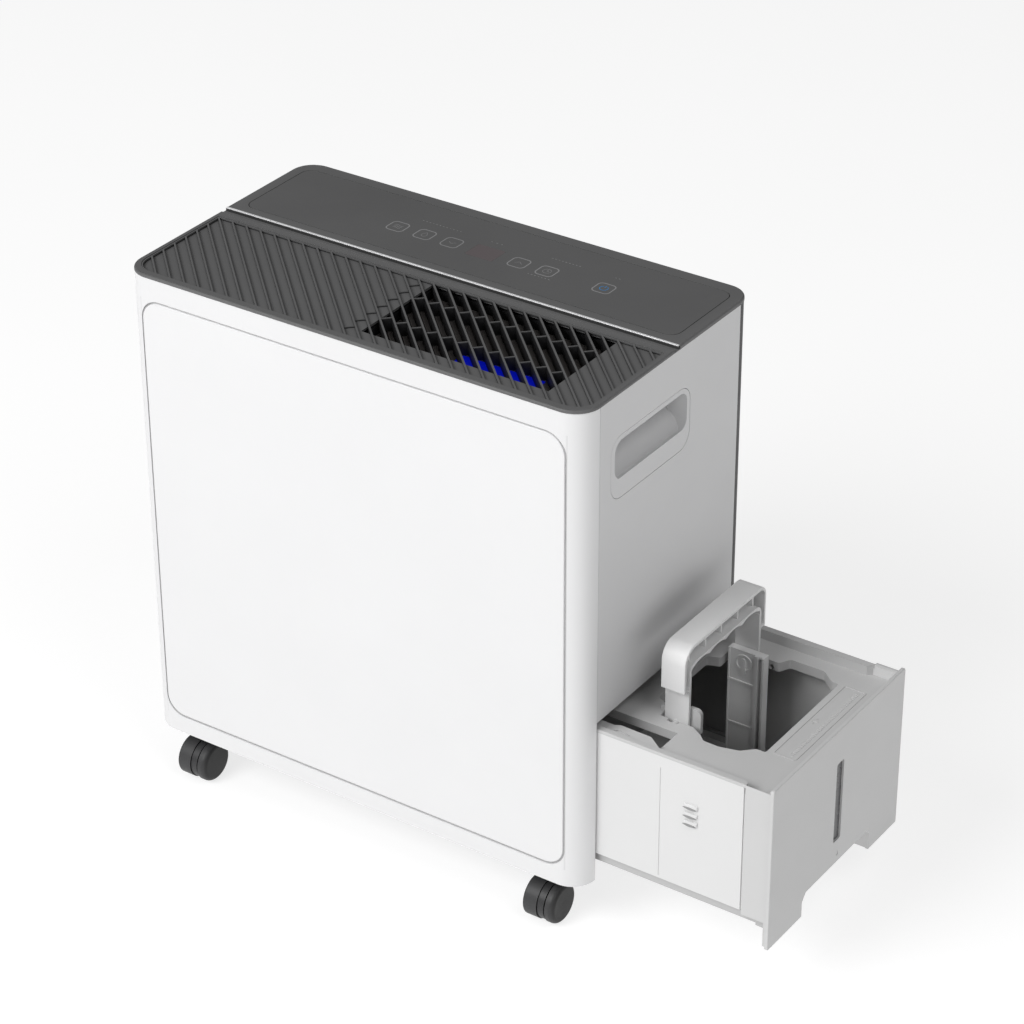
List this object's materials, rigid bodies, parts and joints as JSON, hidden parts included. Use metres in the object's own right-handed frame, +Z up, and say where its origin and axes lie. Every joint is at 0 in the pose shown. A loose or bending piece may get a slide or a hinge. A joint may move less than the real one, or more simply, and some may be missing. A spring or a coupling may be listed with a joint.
{
  "type": "dehumidifier",
  "caption": "Upright box dehumidifier on casters, white with a dark ribbed lid, touch panel, carry recesses and a side bucket drawn out with its handle up.",
  "frame": {"origin": "on the floor, under the centre of the whole object's bounding box with the bucket drawn out", "axes": "+X towards the side the bucket comes out of, +Y towards the rear grille, +Z up"},
  "size_m": [0.5362, 0.2206, 0.434],
  "materials": {
    "front_white": "smooth satin",
    "inlay_white": "smooth satin",
    "side_white": "fine matt",
    "lid_charcoal": "fine grain matt",
    "rib_charcoal": "fine grain matt",
    "panel_charcoal": "satin",
    "rear_charcoal": "grained matt",
    "trim_silver": "brushed bright",
    "key_print": "printed",
    "display_smoke": "smoked",
    "caster_black": "matt",
    "caster_tread": "matt",
    "bucket_white": "fine matt",
    "bucket_deck": "fine matt",
    "handle_white": "fine matt",
    "level_clear": "smoked clear",
    "pin_white": "matt",
    "float_white": "matt",
    "base_grey": "matt",
    "filter_black": "matt",
    "mesh_grey": "woven",
    "duct_black": "matt",
    "vane_grey": "matt",
    "fin_aluminium": "plain",
    "copper": "drawn tube",
    "steel_black": "gloss black paint",
    "motor_steel": "plain",
    "grommet_rubber": "matt",
    "screw_steel": "blackened",
    "board_green": "solder mask",
    "can_metal": "plain",
    "lamp_blue": "clear blue",
    "foam_grey": "plain"
  },
  "bodies": {
    "cabinet": {"front_cover": "front_white", "front_inlay": "inlay_white", "side_panel_right": "side_white", "side_panel_left": "side_white", "hand_grip_right": "side_white", "hand_grip_left": "side_white", "rear_cover": "rear_charcoal", "rear_screws": "screw_steel", "base_pan": "base_grey", "caster_sockets": "base_grey", "bay_divider": "base_grey", "top_cover": "lid_charcoal", "top_ribs": "rib_charcoal", "outlet_lattice": "vane_grey", "outlet_vanes": "vane_grey", "outlet_duct": "duct_black", "trim_strip": "trim_silver", "control_panel": "panel_charcoal", "display_window": "display_smoke", "touch_keys": "key_print", "condenser": "fin_aluminium", "evaporator": "fin_aluminium", "drip_tray": "foam_grey", "fan_scroll": "duct_black", "fan_inlet_plate": "duct_black", "fan_motor": "motor_steel", "ion_lamp": "lamp_blue", "compressor": "steel_black", "compressor_grommets": "grommet_rubber", "compressor_bolts": "screw_steel", "discharge_pipe": "copper", "suction_pipe": "copper", "control_board": "board_green", "run_capacitor": "can_metal", "humidity_sensor": "foam_grey", "bucket_switch": "foam_grey", "drain_outlet": "base_grey", "cord_gland": "caster_black"},
    "bucket": {"bucket_tub": "bucket_white", "bucket_end_panel": "bucket_white", "level_window": "level_clear", "bucket_cover": "bucket_deck", "handle_pins": "pin_white", "guide_column": "bucket_deck"},
    "handle": {"bucket_handle": "handle_white"},
    "float": {"float_arm": "float_white", "float_body": "float_white"},
    "filter": {"air_filter_frame": "filter_black", "air_filter_mesh": "mesh_grey"},
    "fan": {"fan_wheel": "vane_grey", "fan_shaft": "motor_steel"},
    "caster_front_right": {"caster_fork_front_right": "caster_black"},
    "wheels_front_right": {"caster_wheels_front_right": "caster_tread"},
    "caster_front_left": {"caster_fork_front_left": "caster_black"},
    "wheels_front_left": {"caster_wheels_front_left": "caster_tread"},
    "caster_rear_right": {"caster_fork_rear_right": "caster_black"},
    "wheels_rear_right": {"caster_wheels_rear_right": "caster_tread"},
    "caster_rear_left": {"caster_fork_rear_left": "caster_black"},
    "wheels_rear_left": {"caster_wheels_rear_left": "caster_tread"}
  },
  "joints": [
    {"name": "bucket_slide", "type": "slide", "parent": "cabinet", "child": "bucket", "axis": [1, 0, 0], "range_m": [-0.018, 0.055]},
    {"name": "handle_fold", "type": "hinge", "parent": "bucket", "child": "handle", "pos_m": [0.15657, 0, 0.162], "axis": [0, 1, 0], "range_deg": [0, 90]},
    {"name": "float_lift", "type": "slide", "parent": "bucket", "child": "float", "axis": [0, 0, 1], "range_m": [0, 0.006]},
    {"name": "filter_slide", "type": "slide", "parent": "cabinet", "child": "filter", "axis": [0, 1, 0], "range_m": [0, 0.06]},
    {"name": "fan_spin", "type": "hinge", "parent": "cabinet", "child": "fan", "pos_m": [0.00577, 0, 0.29], "axis": [0, 1, 0], "continuous": true},
    {"name": "swivel_front_right", "type": "hinge", "parent": "cabinet", "child": "caster_front_right", "pos_m": [0.08847, -0.0843, 0.03], "axis": [0, 0, 1], "continuous": true},
    {"name": "roll_front_right", "type": "hinge", "parent": "caster_front_right", "child": "wheels_front_right", "pos_m": [0.08847, -0.0943, 0.016], "axis": [1, 0, 0], "continuous": true},
    {"name": "swivel_front_left", "type": "hinge", "parent": "cabinet", "child": "caster_front_left", "pos_m": [-0.23192, -0.0843, 0.03], "axis": [0, 0, 1], "continuous": true},
    {"name": "roll_front_left", "type": "hinge", "parent": "caster_front_left", "child": "wheels_front_left", "pos_m": [-0.23192, -0.0943, 0.016], "axis": [1, 0, 0], "continuous": true},
    {"name": "swivel_rear_right", "type": "hinge", "parent": "cabinet", "child": "caster_rear_right", "pos_m": [0.08847, 0.0843, 0.03], "axis": [0, 0, 1], "continuous": true},
    {"name": "roll_rear_right", "type": "hinge", "parent": "caster_rear_right", "child": "wheels_rear_right", "pos_m": [0.08847, 0.0943, 0.016], "axis": [1, 0, 0], "continuous": true},
    {"name": "swivel_rear_left", "type": "hinge", "parent": "cabinet", "child": "caster_rear_left", "pos_m": [-0.23192, 0.0843, 0.03], "axis": [0, 0, 1], "continuous": true},
    {"name": "roll_rear_left", "type": "hinge", "parent": "caster_rear_left", "child": "wheels_rear_left", "pos_m": [-0.23192, 0.0943, 0.016], "axis": [1, 0, 0], "continuous": true}
  ]
}
